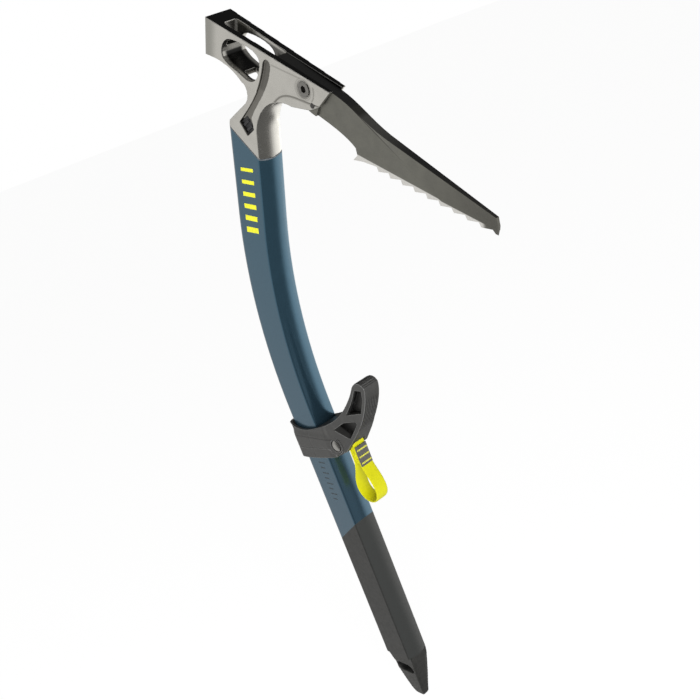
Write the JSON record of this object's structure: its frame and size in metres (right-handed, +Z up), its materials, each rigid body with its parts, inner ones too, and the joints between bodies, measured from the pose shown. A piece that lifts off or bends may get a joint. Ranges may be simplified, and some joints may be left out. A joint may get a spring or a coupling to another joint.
{
  "type": "ice axe",
  "caption": "Technical ice axe with a bent shaft, hammer head, bolted toothed pick, spike with an eye, and a finger rest that slides on the shaft.",
  "frame": {"origin": "middle of the grip sleeve on the lower shaft's centreline, where the hand holds the axe", "axes": "+Z up the lower straight shaft towards the head, +X the way the pick points, Y across the axe with the pivot bolt heads on the -Y side"},
  "size_m": [0.2447, 0.024, 0.5],
  "materials": {
    "head_steel": "satin forged steel",
    "black_plug": "moulded",
    "black_seal": "matt",
    "shaft_paint": "satin grey-blue anodised tube",
    "pick_steel": "dark satin steel with ground teeth",
    "bolt_steel": "satin",
    "bolt_dark": "dull grey",
    "grip_rubber": "matt charcoal",
    "spike_steel": "dark forged steel",
    "pin_steel": "plain",
    "rest_plastic": "charcoal glass-filled nylon",
    "pad_rubber": "matt",
    "tape_yellow": "woven tape",
    "tape_grey": "woven tape",
    "thread_yellow": "bar tack"
  },
  "bodies": {
    "axe": {"head_forging": "head_steel", "neck_plugs": "black_plug", "neck_seal": "black_seal", "shaft_tube": "shaft_paint", "pick_blade": "pick_steel", "pick_bolt": "bolt_dark", "pick_nut": "bolt_dark", "pick_stop_pin": "pin_steel", "grip_sleeve": "grip_rubber", "spike": "spike_steel", "spike_pins": "pin_steel"},
    "slider": {"rest_slider": "rest_plastic", "rest_pad": "pad_rubber"},
    "lever": {"rest_lever": "rest_plastic", "rest_bolt": "bolt_steel", "rest_nut": "bolt_steel", "rest_bush": "pin_steel", "webbing_pin": "pin_steel"},
    "webbing": {"webbing_loop": "tape_yellow", "webbing_keeper": "tape_grey", "webbing_stitches": "thread_yellow"}
  },
  "joints": [
    {"name": "rest_slide", "type": "slide", "parent": "axe", "child": "slider", "axis": [0, 0, 1], "range_m": [-0.165, 0.006]},
    {"name": "rest_tilt", "type": "hinge", "parent": "slider", "child": "lever", "pos_m": [0.0305, 0, 0.128], "axis": [0, 1, 0], "range_deg": [0, 4]},
    {"name": "webbing_swing", "type": "hinge", "parent": "lever", "child": "webbing", "pos_m": [0.0386, 0, 0.1294], "axis": [0, 1, 0], "range_deg": [-40, 10]}
  ]
}
